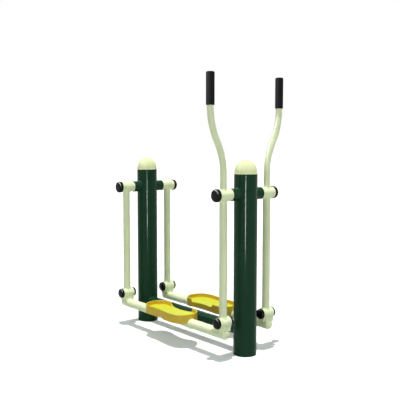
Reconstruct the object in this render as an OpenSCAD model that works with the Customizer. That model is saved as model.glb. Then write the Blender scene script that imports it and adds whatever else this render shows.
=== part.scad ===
// Outdoor air walker: two posts, four hanging arms and two swinging pedal beams.
// +X points to the handle end, +Y to the left of the user, +Z up, ground at z = 0.
// The origin lies on the ground, midway between the posts.

/* [Posts] */
// Distance between the post centres
post_spacing = 830; // [780:5:1000]
// Outside diameter of a post
post_d = 114; // [100:1:120]
// Wall of a post
post_wall = 3; // [2:0.5:5]
// Height of a post from the ground to its cap
post_h = 884; // [870:2:960]

/* [Post caps] */
// Height of the straight skirt under the dome
cap_skirt_h = 7; // [4:1:12]
// Height of the dome above the skirt
cap_dome_h = 64; // [40:1:80]
// Wall of the moulded cap
cap_wall = 3; // [2:0.5:5]
// Depth of the ring that plugs into the post
cap_plug_h = 25; // [15:1:40]

/* [Base beam] */
// Outside diameter of the beam that joins the posts
base_beam_d = 60; // [48:1:70]
// Wall of the base beam
base_beam_wall = 3; // [2:0.5:5]
// Height of the base beam's centre line
base_beam_z = 115; // [80:1:140]

/* [Crossbars] */
// Distance from the top of a post down to the crossbars and the upper pivots
axle_drop = 96; // [80:2:124]
// Outside diameter of a crossbar
crossbar_d = 60; // [58:1:70]
// Wall of a crossbar
crossbar_wall = 4; // [2.5:0.5:6]
// Half of a crossbar's length
crossbar_half = 98; // [90:1:104]
// Thickness of the plate that closes a crossbar's end
end_plate_t = 8; // [5:1:12]
// Free gap between a crossbar's end and the hub beside it
hub_gap = 1.5; // [1:0.5:3]

/* [Bearings] */
// Diameter of the axles and pivot bolts
axle_d = 20; // [18:0.5:22]
// Outside diameter of a ball bearing
bearing_d = 47; // [45:0.5:48]
// Width of a ball bearing
bearing_w = 14; // [12:1:16]
// Radial thickness of an inner ring
inner_ring_t = 4.4; // [4:0.1:5]
// Radial thickness of an outer ring
outer_ring_t = 4.15; // [3.5:0.05:4.5]
// Thickness of a bearing seal
seal_t = 1; // [0.8:0.1:1.5]
// Radial running clearance of a seal on its inner ring
seal_gap = 0.08; // [0.05:0.01:0.1]
// Inside diameter of the shoulder between two bearings
shoulder_bore_d = 41; // [38:0.5:43]

/* [Arms] */
// Distance from the middle plane to an arm's centre line
arm_y = 143.4; // [140:0.2:148]
// Outside diameter of an arm
arm_d = 38; // [32:1:44]
// Wall of the arms and handles
arm_wall = 2.5; // [2:0.5:4]
// Outside diameter of the bearing hubs
hub_d = 56; // [54:0.5:60]
// Distance from the middle plane to an upper hub's outer end
upper_hub_y = 180; // [176:1:200]
// Height of the lower pivots
pivot_z = 181; // [176:1:200]
// Half of a lower hub's length
lower_hub_half = 24; // [24:0.5:30]

/* [Handles] */
// Outside diameter of a handle
handle_d = 32; // [28:1:36]
// Height of the lower bend above the upper pivot
handle_rise = 97; // [60:1:140]
// Radius of both bends, on the centre line
handle_bend_r = 325; // [200:5:400]
// Angle of each bend, in degrees
handle_bend_a = 29; // [20:1:35]
// Straight length between the upper bend and the grip
grip_gap = 4; // [2:1:40]
// Length of a grip
grip_l = 152; // [110:1:200]
// Outside diameter of a grip
grip_d = 40; // [38:1:46]
// Thickness of a grip's closed top
grip_top_t = 5; // [3:1:8]
// Radius of a grip's rounded ends
grip_round_r = 3.5; // [2:0.5:3.5]

/* [Pedal beams] */
// Outside diameter of a pedal beam
beam_d = 48; // [42:1:50]
// Wall of a pedal beam
beam_wall = 3; // [2:0.5:5]
// Height of a pedal beam's centre line below the lower pivots
beam_drop = 56; // [56:1:60]
// Length of a pedal beam beyond each lower pivot
beam_overhang = 29; // [28:1:45]
// Height of the straight rim of the domed piece that closes a beam's end
beam_end_t = 2; // [2:0.5:5]
// Height of that piece's crown above its rim
beam_end_crown = 9; // [3:1:12]

/* [Yokes] */
// Radius of a yoke's cheek
cheek_r = 27; // [27:0.5:32]
// Thickness of a yoke's cheek
cheek_t = 8; // [6:0.5:10]
// Half of a cheek's width where its neck meets the saddle's lower edge
neck_half = 14; // [10:1:20]
// Free gap between a cheek and the lower hub
cheek_gap = 1; // [0.6:0.1:2]
// Half of the saddle's length along the pedal beam
saddle_half_l = 27; // [22:0.5:27]
// Depth of the saddle below the top of the pedal beam
saddle_drop = 8; // [4:1:12]
// Free gap between a lower hub and the trough of the saddle under it
saddle_gap = 1; // [1:0.5:3]
// Width of the flat edge on either side of the trough
saddle_edge = 1.5; // [1:0.5:3]

/* [Pivot caps] */
// Diameter of the black cap on an upper hub
upper_cap_d = 62; // [58:1:66]
// Diameter of the black caps on the yokes
lower_cap_d = 52; // [50:1:54]
// Height of an upper cap's straight rim
cap_rim_h = 12; // [8:0.5:14]
// Height of a lower cap's straight rim
lower_cap_rim_h = 8; // [5:0.5:12]
// Height of a cap's crown above its rim
crown_h = 9; // [7:0.5:12]
// Wall of a cap
pivot_cap_wall = 1.5; // [1.2:0.1:2]
// Depth of the ring that plugs an upper cap into its hub
hub_plug_h = 8; // [5:1:10]

/* [Pedals] */
// Length of a pedal
pedal_l = 360; // [330:2:380]
// Width of a pedal
pedal_w = 156; // [150:1:158]
// Height of a pedal's rim above its floor
rim_h = 21; // [12:1:30]
// Thickness of a pedal's floor
floor_t = 3; // [2.5:0.5:5]
// Depth of the skirt below the underside of the floor
skirt_h = 21; // [18:1:24]
// Thickness of the rim and skirt
pedal_wall = 6; // [4:0.5:8]
// Thickness of the ribs under the floor
rib_t = 3; // [2:0.5:4]
// Depth of the ribs under the floor
rib_h = 12; // [8:1:16]
// Distance between the cross ribs
rib_pitch = 50; // [40:2:60]
// Radius of the shallow arch in the outer skirt
arch_r = 36; // [24:1:44]
// Height of the shallow arch in the outer skirt
arch_h = 10; // [6:1:14]
// Height of the lip that is left of the rim along the instep
instep_lip_h = 2; // [1:0.5:5]
// Length over which the rim runs down to the lip at the heel's end
heel_ramp_l = 26; // [10:1:40]
// Length over which the rim runs down to the lip at the toe's end
toe_ramp_l = 12; // [6:1:30]

/* [Pedal fixings] */
// Distance between a pedal's front and rear brackets
bracket_spacing = 200; // [180:2:210]
// Length of a bracket along the beam
bracket_l = 32; // [26:1:40]
// Distance from the beam's centre to a bracket's outer edge
bracket_reach = 56; // [50:1:58]
// Thickness of a bracket
bracket_t = 5; // [4:0.5:6]
// Height of the bosses under the floor
boss_h = 8; // [6:0.5:10]
// Diameter of the bosses under the floor
boss_d = 20; // [18:1:24]
// Distance from the beam's centre to a pedal bolt
bolt_y = 41; // [38:1:44]
// Diameter of a pedal bolt
bolt_d = 8; // [6:1:10]
// Width across the flats of a pedal bolt's head
bolt_head_af = 13; // [11:1:16]
// Height of a pedal bolt's head
bolt_head_h = 5.3; // [4:0.1:6.5]
// Depth of a pedal bolt in its boss
bolt_grip = 7; // [4:0.5:7]

/* [Hub fasteners] */
// Width across the flats of the nuts and bolt heads on the pivots
nut_af = 28; // [26:0.5:30]
// Height of the nuts on the axles
axle_nut_h = 12; // [8:1:14]
// Height of the heads and nuts on the pivot bolts
pivot_nut_h = 7; // [5:0.5:7]
// Diameter of the flange on an axle nut
nut_flange_d = 38; // [32:1:40]
// Thickness of the flange on an axle nut
nut_flange_t = 3; // [2:0.5:4]

/* [Hidden] */
$fn = 96;

// Ends and sides: the front end is at +X, the right side at -Y
FRONT = 1;
REAR = -1;
RIGHT = -1;
LEFT = 1;

// Finishes
post_green = "#1f4a33";
tube_cream = "#e6efc0";
cap_black = "#17171a";
grip_black = "#2c2c2e";
pedal_yellow = "#e6d63a";
steel = "#b9bcc0";

// Clearances: how far a cut runs past its face, and the gap round a welded, pressed or plugged joint
overrun = 1;
weld_gap = 0.1;
press_gap = 0.05;
plug_gap = 0.2;

// Places that follow from the sizes above
end_x = post_spacing / 2;
axle_z = post_h - axle_drop;
upper_hub_in = crossbar_half + hub_gap;
inner_ring_d = axle_d + 2 * press_gap + 2 * inner_ring_t;
race_bore_d = bearing_d - 2 * outer_ring_t;
seal_bore_d = inner_ring_d + 2 * seal_gap;
boss_ring_d = inner_ring_d - 2 * press_gap;
nut_y = upper_hub_y - hub_plug_h - hub_gap - axle_nut_h;
outer_bearing_y = nut_y - bearing_w;
cheek_in = lower_hub_half + cheek_gap;
cheek_out = cheek_in + cheek_t;
beam_z = pivot_z - beam_drop;
beam_top_z = beam_z + beam_d / 2;
beam_half = end_x + beam_overhang;
beam_tube_half = beam_half - beam_end_t - beam_end_crown;
saddle_low = beam_drop - beam_d / 2 + saddle_drop;
handle_shift = 2 * handle_bend_r * (1 - cos(handle_bend_a));
handle_bend_h = 2 * handle_bend_r * sin(handle_bend_a);
handle_y = arm_y + handle_shift;
grip_z = axle_z + handle_rise + handle_bend_h + grip_gap;
floor_z = beam_top_z;
rim_top_z = floor_z + floor_t + rim_h;
skirt_z = floor_z - skirt_h;
boss_z = floor_z - boss_h;
bracket_z = boss_z - bracket_t;

// Curves
dome_steps = 20;
crown_steps = 10;
ramp_steps = 8;
outline_steps = 5;

// A pedal's outline as shares of its length and width, from the heel's outer corner round the
// instep to the toe and back along the outer side. The inner side of the shoe is +Y here.
outline_shares = [
    [-0.375, -0.40], [-0.470, -0.22], [-0.508, 0.06], [-0.485, 0.31],
    [-0.410, 0.46], [-0.300, 0.49], [-0.210, 0.46], [-0.110, 0.415], [0.000, 0.385],
    [0.110, 0.40], [0.190, 0.445], [0.250, 0.50], [0.320, 0.50], [0.400, 0.41],
    [0.462, 0.24], [0.488, 0.03], [0.472, -0.20], [0.410, -0.39], [0.300, -0.475],
    [0.150, -0.475], [0.000, -0.435], [-0.130, -0.425], [-0.260, -0.425]
];
// Where the rim starts to run down to the instep, along the pedal's length
instep_shares = [-0.245, 0.255];
// The middle of the shallow arch in the outer skirt, along the pedal's length
arch_share = -0.005;

// Puts a left-hand shape on either side of the middle plane
module on_side(side) {
    if (side == LEFT) children();
    else mirror([0, 1, 0]) children();
}

// A round bar along +Y between two places
module bar_y(d, y0, y1) {
    translate([0, y0, 0]) rotate([-90, 0, 0]) cylinder(d = d, h = y1 - y0);
}

// A round tube along +Y between two places
module pipe_y(d, bore, y0, y1) {
    difference() {
        bar_y(d, y0, y1);
        bar_y(bore, y0 - overrun, y1 + overrun);
    }
}

// A six-sided nut or head along +Y, measured across its flats
module hex_y(af, y0, y1) {
    translate([0, y0, 0]) rotate([-90, 0, 0]) cylinder(d = af / cos(30), h = y1 - y0, $fn = 6);
}

// A profile drawn as [radius, length], turned about +Y from a place
module turned_y(y0, outward = 1) {
    translate([0, y0, 0]) rotate([-90 * outward, 0, 0]) rotate_extrude() children();
}

// Quarter of an ellipse from its edge up to its crown
function quarter(radius, height, base, steps) =
    [for (i = [0 : steps]) [radius * cos(90 * i / steps), base + height * sin(90 * i / steps)]];

// The same quarter from the crown down to the edge
function quarter_down(radius, height, base, steps) =
    [for (i = [steps : -1 : 0]) [radius * cos(90 * i / steps), base + height * sin(90 * i / steps)]];

// One point of a closed smooth curve through four neighbouring points
function curve_point(a, b, c, d, t) = 0.5 * (2 * b + (c - a) * t
    + (2 * a - 5 * b + 4 * c - d) * t * t + (3 * b - a - 3 * c + d) * t * t * t);

// A closed smooth curve through a list of points
function smooth_loop(p, steps) = let (n = len(p)) [
    for (i = [0 : n - 1], k = [0 : steps - 1])
        curve_point(p[(i + n - 1) % n], p[i], p[(i + 1) % n], p[(i + 2) % n], k / steps)
];

function pedal_outline() = smooth_loop([for (s = outline_shares) [s[0] * pedal_l, s[1] * pedal_w]],
    outline_steps);

// The same outline moved inwards by a wall, square to the curve at each point
function inset(p, wall) = let (n = len(p)) [
    for (i = [0 : n - 1]) let (
        along = p[(i + 1) % n] - p[(i + n - 1) % n],
        size = norm(along)
    ) p[i] + wall * [along[1], -along[0]] / size
];

// A round post, bored through for the crossbar
module post(end) {
    color(post_green) translate([end * end_x, 0, 0]) difference() {
        cylinder(d = post_d, h = post_h);
        translate([0, 0, -overrun]) cylinder(d = post_d - 2 * post_wall, h = post_h + 2 * overrun);
        translate([0, 0, axle_z]) bar_y(crossbar_d + 2 * press_gap, -post_d, post_d);
    }
}

// The round beam between the posts, its ends shaped to them
module base_beam() {
    color(post_green) difference() {
        translate([-end_x, 0, base_beam_z]) rotate([0, 90, 0]) cylinder(d = base_beam_d, h = post_spacing);
        translate([-end_x - overrun, 0, base_beam_z]) rotate([0, 90, 0])
            cylinder(d = base_beam_d - 2 * base_beam_wall, h = post_spacing + 2 * overrun);
        for (end = [FRONT, REAR]) translate([end * end_x, 0, -overrun])
            cylinder(d = post_d + 2 * weld_gap, h = post_h);
    }
}

// A moulded dome with a short straight skirt and a ring that plugs into the post
module post_cap(end) {
    plug_d = post_d - 2 * post_wall - 2 * plug_gap;
    color(tube_cream) translate([end * end_x, 0, post_h]) rotate_extrude() polygon(concat(
        [[plug_d / 2 - cap_wall, -cap_plug_h], [plug_d / 2, -cap_plug_h], [plug_d / 2, 0], [post_d / 2, 0]],
        quarter(post_d / 2, cap_dome_h, cap_skirt_h, dome_steps),
        quarter_down(plug_d / 2 - cap_wall, cap_dome_h - cap_wall, cap_skirt_h, dome_steps)
    ));
}

// The short tube through a post, closed by two plates that hold the axle
module crossbar(end) {
    color(post_green) translate([end * end_x, 0, axle_z]) difference() {
        union() {
            bar_y(crossbar_d, -crossbar_half, crossbar_half);
            bar_y(boss_ring_d, -upper_hub_in, upper_hub_in);
        }
        bar_y(crossbar_d - 2 * crossbar_wall, end_plate_t - crossbar_half, crossbar_half - end_plate_t);
        bar_y(axle_d + 2 * press_gap, -upper_hub_in - overrun, upper_hub_in + overrun);
    }
}

// The steel axle through a crossbar, as long as the outer faces of its two nuts
module axle(end) {
    color(steel) translate([end * end_x, 0, axle_z])
        bar_y(axle_d, -nut_y - axle_nut_h, nut_y + axle_nut_h);
}

// One ring of a ball bearing, turned round the shaft
module inner_ring(y0) {
    pipe_y(inner_ring_d, axle_d + 2 * press_gap, y0, y0 + bearing_w);
}

// The outer ring of a ball bearing with its two seals
module outer_ring(y0) {
    outer = bearing_d / 2 - press_gap;
    turned_y(y0) polygon([
        [seal_bore_d / 2, 0], [outer, 0], [outer, bearing_w], [seal_bore_d / 2, bearing_w],
        [seal_bore_d / 2, bearing_w - seal_t], [race_bore_d / 2, bearing_w - seal_t],
        [race_bore_d / 2, seal_t], [seal_bore_d / 2, seal_t]
    ]);
}

// The inner rings that stay with the two axles
module axle_inner_rings() {
    color(steel) for (side = [RIGHT, LEFT], end = [FRONT, REAR]) on_side(side)
        translate([end * end_x, 0, axle_z]) {
            inner_ring(upper_hub_in);
            inner_ring(outer_bearing_y);
        }
}

// The tubes that hold each pair of inner rings apart
module axle_spacers() {
    color(steel) for (side = [RIGHT, LEFT], end = [FRONT, REAR]) on_side(side)
        translate([end * end_x, 0, axle_z])
            pipe_y(boss_ring_d, axle_d + 2 * press_gap, upper_hub_in + bearing_w, outer_bearing_y);
}

// The flanged nuts on the axle ends
module axle_nuts() {
    color(steel) for (side = [RIGHT, LEFT], end = [FRONT, REAR]) on_side(side)
        translate([end * end_x, 0, axle_z]) difference() {
            union() {
                bar_y(boss_ring_d, nut_y, nut_y + seal_t);
                bar_y(nut_flange_d, nut_y + seal_t, nut_y + seal_t + nut_flange_t);
                hex_y(nut_af, nut_y + seal_t, nut_y + axle_nut_h);
            }
            bar_y(axle_d + 2 * press_gap, nut_y - overrun, nut_y + axle_nut_h + overrun);
        }
}

// A hanging arm's tube, its ends shaped to the two hubs
module arm_tube(side, end) {
    color(tube_cream) on_side(side) translate([end * end_x, 0, 0]) difference() {
        translate([0, arm_y, pivot_z]) cylinder(d = arm_d, h = axle_z - pivot_z);
        translate([0, arm_y, pivot_z - overrun])
            cylinder(d = arm_d - 2 * arm_wall, h = axle_z - pivot_z + 2 * overrun);
        for (z = [pivot_z, axle_z]) translate([0, 0, z])
            bar_y(hub_d + 2 * weld_gap, arm_y - arm_d, arm_y + arm_d);
    }
}

// The upper hub: a sleeve with a seat for a bearing at each end of its shoulder
module upper_hub(side, end) {
    color(tube_cream) on_side(side) translate([end * end_x, 0, axle_z]) difference() {
        bar_y(hub_d, upper_hub_in, upper_hub_y);
        bar_y(shoulder_bore_d, upper_hub_in - overrun, upper_hub_y + overrun);
        bar_y(bearing_d, upper_hub_in - overrun, upper_hub_in + bearing_w);
        bar_y(bearing_d, outer_bearing_y, upper_hub_y + overrun);
    }
}

// The lower hub: a shorter sleeve with a bearing seat at each end
module lower_hub(side, end) {
    color(tube_cream) on_side(side) translate([end * end_x, arm_y, pivot_z]) difference() {
        bar_y(hub_d, -lower_hub_half, lower_hub_half);
        bar_y(shoulder_bore_d, -lower_hub_half - overrun, lower_hub_half + overrun);
        bar_y(bearing_d, -lower_hub_half - overrun, bearing_w - lower_hub_half);
        bar_y(bearing_d, lower_hub_half - bearing_w, lower_hub_half + overrun);
    }
}

// The outer rings and seals in an arm's two hubs
module bearings(side, end) {
    color(steel) on_side(side) translate([end * end_x, 0, 0]) {
        translate([0, 0, axle_z]) {
            outer_ring(upper_hub_in);
            outer_ring(outer_bearing_y);
        }
        translate([0, arm_y, pivot_z]) {
            outer_ring(-lower_hub_half);
            outer_ring(lower_hub_half - bearing_w);
        }
    }
}

// The outline of a black cap: a straight rim, a domed crown and a hollow under it
module cap_profile(d, rim_z) {
    wall = pivot_cap_wall;
    polygon(concat(
        [[d / 2 - 2 * wall, 0], [d / 2, 0]],
        quarter(d / 2, crown_h, rim_z, crown_steps),
        quarter_down(d / 2 - 2 * wall, crown_h - wall, rim_z, crown_steps)
    ));
}

// The domed cap that plugs into an upper hub's outer end
module hub_cap(side, end) {
    plug_d = bearing_d - 2 * plug_gap;
    wall = 2 * pivot_cap_wall;
    color(cap_black) on_side(side) translate([end * end_x, 0, axle_z]) {
        turned_y(upper_hub_y) cap_profile(upper_cap_d, cap_rim_h);
        pipe_y(upper_cap_d - wall, plug_d - 2 * wall, upper_hub_y, upper_hub_y + pivot_cap_wall);
        pipe_y(plug_d, plug_d - 2 * wall, upper_hub_y - hub_plug_h, upper_hub_y + pivot_cap_wall);
    }
}

// A bent piece of tube in the plane of the handles
module bend(sweep) {
    rotate([90, 0, 90]) rotate_extrude(angle = sweep) translate([handle_bend_r, 0, 0]) difference() {
        circle(d = handle_d);
        circle(d = handle_d - 2 * arm_wall);
    }
}

// A straight piece of handle tube
module handle_straight(y, z0, z1) {
    translate([0, y, z0]) difference() {
        cylinder(d = handle_d, h = z1 - z0);
        translate([0, 0, -overrun]) cylinder(d = handle_d - 2 * arm_wall, h = z1 - z0 + 2 * overrun);
    }
}

// The handle: a straight foot on the upper hub, two opposite bends and a straight end in the grip
module handle(side) {
    bend_z = axle_z + handle_rise;
    top_z = grip_z + grip_l - grip_top_t;
    color(tube_cream) on_side(side) translate([end_x, 0, 0]) {
        difference() {
            handle_straight(arm_y, axle_z, bend_z);
            translate([0, 0, axle_z]) bar_y(hub_d + 2 * weld_gap, arm_y - arm_d, arm_y + arm_d);
        }
        translate([0, arm_y + handle_bend_r, bend_z]) rotate([180 - handle_bend_a, 0, 0])
            bend(handle_bend_a);
        translate([0, handle_y - handle_bend_r, bend_z + handle_bend_h]) rotate([-handle_bend_a, 0, 0])
            bend(handle_bend_a);
        handle_straight(handle_y, bend_z + handle_bend_h, top_z);
    }
}

// The rubber grip: a closed sleeve with rounded ends
module grip(side) {
    r = grip_round_r;
    color(grip_black) on_side(side) translate([end_x, handle_y, grip_z]) difference() {
        union() {
            translate([0, 0, r]) cylinder(d = grip_d, h = grip_l - 2 * r);
            cylinder(d = grip_d - 2 * r, h = grip_l);
            for (z = [r, grip_l - r]) translate([0, 0, z]) rotate_extrude()
                translate([grip_d / 2 - r, 0, 0]) circle(r = r);
        }
        translate([0, 0, -overrun]) cylinder(d = handle_d + 2 * press_gap, h = grip_l - grip_top_t + overrun);
    }
}

// The swinging beam under a pair of arms
module beam_tube(side) {
    color(tube_cream) on_side(side) translate([0, arm_y, beam_z]) rotate([0, 90, 0]) difference() {
        translate([0, 0, -beam_tube_half]) cylinder(d = beam_d, h = 2 * beam_tube_half);
        translate([0, 0, -beam_half]) cylinder(d = beam_d - 2 * beam_wall, h = 2 * beam_half);
    }
}

// The domed pieces welded on the ends of a pedal beam
module beam_end_discs(side) {
    color(tube_cream) on_side(side) for (end = [FRONT, REAR])
        translate([end * beam_tube_half, arm_y, beam_z]) rotate([0, end * 90, 0]) rotate_extrude()
            polygon(concat([[0, 0], [beam_d / 2, 0]],
                quarter(beam_d / 2, beam_end_crown, beam_end_t, crown_steps)));
}

// One cheek of a yoke: round about the pivot, with a neck that narrows down to the saddle
module cheek() {
    foot = [neck_half, saddle_low];
    lean = atan2(foot[1], foot[0]) - acos(cheek_r / norm(foot));
    shoulder = cheek_r * [cos(lean), sin(lean)];
    translate([0, cheek_in, 0]) rotate([-90, 0, 0]) linear_extrude(cheek_t) union() {
        circle(r = cheek_r);
        polygon([shoulder, foot, [-foot[0], foot[1]], [-shoulder[0], shoulder[1]]]);
    }
}

// The block between the cheeks, with a trough for the hub above and a seat for the beam below
module saddle() {
    trough_r = hub_d / 2 + saddle_gap;
    edge_x = saddle_half_l - saddle_edge;
    saddle_high = sqrt(trough_r * trough_r - edge_x * edge_x);
    difference() {
        translate([-saddle_half_l, -cheek_in, -saddle_low])
            cube([2 * saddle_half_l, 2 * cheek_in, saddle_low - saddle_high]);
        bar_y(2 * trough_r, -cheek_out, cheek_out);
    }
}

// The welded yoke that carries a lower hub between its cheeks and saddles over the beam
module yoke(side, end) {
    color(tube_cream) on_side(side) translate([end * end_x, arm_y, pivot_z]) difference() {
        union() {
            saddle();
            cheek();
            mirror([0, 1, 0]) cheek();
            bar_y(boss_ring_d, lower_hub_half, cheek_out);
            bar_y(boss_ring_d, -cheek_out, -lower_hub_half);
        }
        bar_y(axle_d + 2 * press_gap, -cheek_out - overrun, cheek_out + overrun);
        translate([-saddle_half_l - overrun, 0, -beam_drop]) rotate([0, 90, 0])
            cylinder(d = beam_d + 2 * weld_gap, h = 2 * saddle_half_l + 2 * overrun);
    }
}

// The bolts through the yokes, their heads on the outer cheeks
module pivot_bolts(side) {
    color(steel) on_side(side) for (end = [FRONT, REAR]) translate([end * end_x, arm_y, pivot_z]) {
        bar_y(axle_d, -cheek_out - pivot_nut_h, cheek_out);
        hex_y(nut_af, cheek_out, cheek_out + pivot_nut_h);
    }
}

// The nuts on the inner cheeks
module pivot_nuts(side) {
    color(steel) on_side(side) for (end = [FRONT, REAR]) translate([end * end_x, arm_y, pivot_z])
        difference() {
            hex_y(nut_af, -cheek_out - pivot_nut_h, -cheek_out);
            bar_y(axle_d + 2 * press_gap, -cheek_out - pivot_nut_h - overrun, overrun - cheek_out);
        }
}

// The domed caps over the bolt heads and nuts of the yokes
module pivot_caps(side) {
    color(cap_black) on_side(side) for (end = [FRONT, REAR]) translate([end * end_x, arm_y, pivot_z]) {
        turned_y(cheek_out) cap_profile(lower_cap_d, lower_cap_rim_h);
        turned_y(-cheek_out, -1) cap_profile(lower_cap_d, lower_cap_rim_h);
    }
}

// The inner rings that stay with the pivot bolts
module pivot_inner_rings(side) {
    color(steel) on_side(side) for (end = [FRONT, REAR]) translate([end * end_x, arm_y, pivot_z]) {
        inner_ring(-lower_hub_half);
        inner_ring(lower_hub_half - bearing_w);
    }
}

// The tubes that hold the inner rings of a lower hub apart
module pivot_spacers(side) {
    gap = lower_hub_half - bearing_w;
    color(steel) on_side(side) for (end = [FRONT, REAR]) translate([end * end_x, arm_y, pivot_z])
        pipe_y(boss_ring_d, axle_d + 2 * press_gap, -gap, gap);
}

// The part of the rim that is cut away above the instep: it runs down to the lip in a curve at each end
module instep_cut() {
    heel_x = instep_shares[0] * pedal_l;
    toe_x = instep_shares[1] * pedal_l;
    cut_h = rim_h - instep_lip_h;
    translate([0, pedal_w, rim_top_z - cut_h]) rotate([90, 0, 0]) linear_extrude(pedal_w) polygon(concat(
        [[heel_x, cut_h + overrun]],
        [for (p = quarter(heel_ramp_l, -cut_h, cut_h, ramp_steps)) [heel_x + heel_ramp_l - p[0], p[1]]],
        [for (p = quarter_down(toe_ramp_l, -cut_h, cut_h, ramp_steps)) [toe_x - toe_ramp_l + p[0], p[1]]],
        [[toe_x, cut_h + overrun]]
    ));
}

// The ribs and bosses under the floor
module pedal_stiffening() {
    ribs_each_way = floor((pedal_l / 2 - pedal_wall) / rib_pitch);
    intersection() {
        translate([0, 0, floor_z - rib_h]) linear_extrude(rib_h) polygon(inset(pedal_outline(), rib_t));
        union() {
            for (i = [-ribs_each_way : ribs_each_way])
                translate([i * rib_pitch - rib_t / 2, -pedal_w, floor_z - rib_h])
                    cube([rib_t, 2 * pedal_w, rib_h]);
            for (y = [-1, 1]) translate([-pedal_l, y * bracket_reach / 2 - rib_t / 2, floor_z - rib_h])
                cube([2 * pedal_l, rib_t, rib_h]);
        }
    }
}

// A moulded foot tray, in its own frame: the beam's centre line is y = 0
module pedal_tray() {
    outline = pedal_outline();
    slot_l = bracket_l + 2 * plug_gap;
    slot_w = 2 * bracket_reach + 2 * plug_gap;
    difference() {
        union() {
            difference() {
                translate([0, 0, skirt_z]) linear_extrude(rim_top_z - skirt_z) polygon(outline);
                translate([0, 0, floor_z + floor_t]) linear_extrude(rim_h + overrun)
                    polygon(inset(outline, pedal_wall));
                translate([0, 0, skirt_z - overrun]) linear_extrude(skirt_h + overrun)
                    polygon(inset(outline, pedal_wall));
                instep_cut();
            }
            pedal_stiffening();
            for (x = [-1, 1], y = [-1, 1]) translate([x * bracket_spacing / 2, y * bolt_y, boss_z])
                cylinder(d = boss_d, h = boss_h + floor_t / 2);
        }
        translate([-pedal_l, 0, beam_z]) rotate([0, 90, 0])
            cylinder(d = beam_d + 2 * weld_gap, h = 2 * pedal_l);
        translate([-pedal_l, -beam_d / 2 - weld_gap, skirt_z - overrun])
            cube([2 * pedal_l, beam_d + 2 * weld_gap, beam_z - skirt_z + overrun]);
        for (x = [-1, 1]) translate([x * bracket_spacing / 2 - slot_l / 2, -slot_w / 2, bracket_z - overrun])
            cube([slot_l, slot_w, boss_z - bracket_z + overrun]);
        for (x = [-1, 1], y = [-1, 1]) translate([x * bracket_spacing / 2, y * bolt_y, boss_z - overrun])
            cylinder(d = bolt_d + 2 * press_gap, h = bolt_grip + press_gap + overrun);
        translate([arch_share * pedal_l, -pedal_w, skirt_z + arch_h - arch_r]) rotate([-90, 0, 0])
            cylinder(r = arch_r, h = pedal_w - bracket_reach);
    }
}

// Turns a shape of the right-hand pedal half round for the left-hand side
module on_beam(side) {
    if (side == RIGHT) translate([0, -arm_y, 0]) children();
    else rotate([0, 0, 180]) translate([0, -arm_y, 0]) children();
}

module pedal(side) {
    color(pedal_yellow) on_beam(side) pedal_tray();
}

// The four plates welded to the sides of the beam under the bosses
module pedal_brackets(side) {
    color(tube_cream) on_beam(side) for (x = [-1, 1], y = [0, 1]) mirror([0, y, 0]) difference() {
        translate([x * bracket_spacing / 2 - bracket_l / 2, beam_d / 4, bracket_z])
            cube([bracket_l, bracket_reach - beam_d / 4, bracket_t]);
        translate([x * bracket_spacing / 2 - bracket_l, 0, beam_z]) rotate([0, 90, 0])
            cylinder(d = beam_d + 2 * weld_gap, h = 2 * bracket_l);
        translate([x * bracket_spacing / 2, bolt_y, bracket_z - overrun])
            cylinder(d = bolt_d + 2 * press_gap, h = bracket_t + 2 * overrun);
    }
}

// The bolts that go up through the brackets into the bosses
module pedal_bolts(side) {
    color(steel) on_beam(side) for (x = [-1, 1], y = [-1, 1])
        translate([x * bracket_spacing / 2, y * bolt_y, bracket_z]) {
            cylinder(d = bolt_d, h = bracket_t + bolt_grip);
            translate([0, 0, -bolt_head_h]) cylinder(d = bolt_head_af / cos(30), h = bolt_head_h, $fn = 6);
        }
}

post(FRONT);  // front_post
post(REAR);  // rear_post
base_beam();
post_cap(FRONT);  // front_post_cap
post_cap(REAR);  // rear_post_cap
crossbar(FRONT);  // front_crossbar
crossbar(REAR);  // rear_crossbar
axle(FRONT);  // front_axle
axle(REAR);  // rear_axle
axle_inner_rings();
axle_spacers();
axle_nuts();

arm_tube(RIGHT, FRONT);  // right_front_arm_tube
upper_hub(RIGHT, FRONT);  // right_front_upper_hub
lower_hub(RIGHT, FRONT);  // right_front_lower_hub
bearings(RIGHT, FRONT);  // right_front_bearings
hub_cap(RIGHT, FRONT);  // right_front_hub_cap
handle(RIGHT);  // right_handle
grip(RIGHT);  // right_grip
arm_tube(RIGHT, REAR);  // right_rear_arm_tube
upper_hub(RIGHT, REAR);  // right_rear_upper_hub
lower_hub(RIGHT, REAR);  // right_rear_lower_hub
bearings(RIGHT, REAR);  // right_rear_bearings
hub_cap(RIGHT, REAR);  // right_rear_hub_cap

arm_tube(LEFT, FRONT);  // left_front_arm_tube
upper_hub(LEFT, FRONT);  // left_front_upper_hub
lower_hub(LEFT, FRONT);  // left_front_lower_hub
bearings(LEFT, FRONT);  // left_front_bearings
hub_cap(LEFT, FRONT);  // left_front_hub_cap
handle(LEFT);  // left_handle
grip(LEFT);  // left_grip
arm_tube(LEFT, REAR);  // left_rear_arm_tube
upper_hub(LEFT, REAR);  // left_rear_upper_hub
lower_hub(LEFT, REAR);  // left_rear_lower_hub
bearings(LEFT, REAR);  // left_rear_bearings
hub_cap(LEFT, REAR);  // left_rear_hub_cap

beam_tube(RIGHT);  // right_beam_tube
beam_end_discs(RIGHT);  // right_beam_end_discs
yoke(RIGHT, FRONT);  // right_front_yoke
yoke(RIGHT, REAR);  // right_rear_yoke
pedal(RIGHT);  // right_pedal
pedal_brackets(RIGHT);  // right_pedal_brackets
pedal_bolts(RIGHT);  // right_pedal_bolts
pivot_bolts(RIGHT);  // right_pivot_bolts
pivot_nuts(RIGHT);  // right_pivot_nuts
pivot_caps(RIGHT);  // right_pivot_caps
pivot_inner_rings(RIGHT);  // right_pivot_inner_rings
pivot_spacers(RIGHT);  // right_pivot_spacers

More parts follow.
